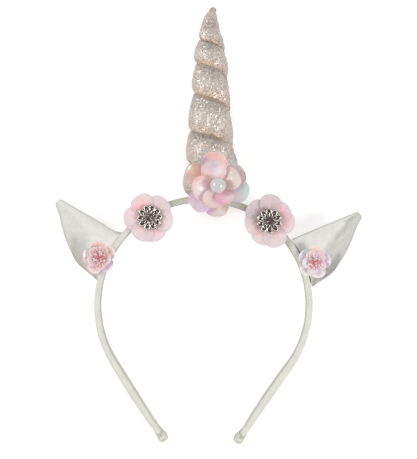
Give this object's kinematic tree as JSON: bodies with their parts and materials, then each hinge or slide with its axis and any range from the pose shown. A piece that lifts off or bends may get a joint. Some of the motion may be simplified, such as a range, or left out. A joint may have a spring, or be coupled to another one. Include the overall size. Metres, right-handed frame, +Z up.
{
  "type": "unicorn horn headband",
  "caption": "Satin-wrapped alice band with a stuffed glitter horn, two felt ears, an iridescent rose, frosted blossoms with silver caps and small sequin flowers",
  "frame": {"origin": "centre of the whole headband's box, on the table that it lies on", "axes": "+X to the right as the headband's front is seen, +Y from the leg tips to the horn's tip, +Z up out of the table and out of the flowers"},
  "size_m": [0.178, 0.251, 0.0435],
  "materials": {
    "satin_band": "satin",
    "satin_ribbon": "satin",
    "glitter_cloth": "satin",
    "white_felt": "matte",
    "pearly_film": "gloss",
    "frosted_film": "satin",
    "old_silver": "polished",
    "crystal": "gloss",
    "pearl": "gloss",
    "pink_glass": "gloss"
  },
  "bodies": {
    "root": {"band": "satin_band", "tip_wrap_left": "satin_ribbon", "tip_wrap_right": "satin_ribbon", "rose_post": "satin_ribbon", "horn": "glitter_cloth", "ear_left": "white_felt", "ear_right": "white_felt", "rose_outer_petal_1": "pearly_film", "rose_outer_petal_2": "pearly_film", "rose_outer_petal_3": "pearly_film", "rose_outer_petal_4": "pearly_film", "rose_outer_petal_5": "pearly_film", "rose_outer_petal_6": "pearly_film", "rose_inner_petal_1": "pearly_film", "rose_inner_petal_2": "pearly_film", "rose_inner_petal_3": "pearly_film", "rose_inner_petal_4": "pearly_film", "rose_inner_petal_5": "pearly_film", "sequin_left_lower": "pearly_film", "sequin_left_upper": "pearly_film", "sequin_right_lower": "pearly_film", "sequin_right_upper": "pearly_film", "blossom_left_petal_1": "frosted_film", "blossom_left_petal_2": "frosted_film", "blossom_left_petal_3": "frosted_film", "blossom_left_petal_4": "frosted_film", "blossom_left_petal_5": "frosted_film", "blossom_left_petal_6": "frosted_film", "blossom_right_petal_1": "frosted_film", "blossom_right_petal_2": "frosted_film", "blossom_right_petal_3": "frosted_film", "blossom_right_petal_4": "frosted_film", "blossom_right_petal_5": "frosted_film", "blossom_right_petal_6": "frosted_film", "blossom_right_petal_7": "frosted_film", "blossom_left_cap": "old_silver", "blossom_right_cap": "old_silver", "blossom_left_stone": "crystal", "blossom_right_stone": "crystal", "rose_pearl": "pearl", "sequin_left_beads": "pink_glass", "sequin_right_beads": "pink_glass"}
  },
  "joints": []
}
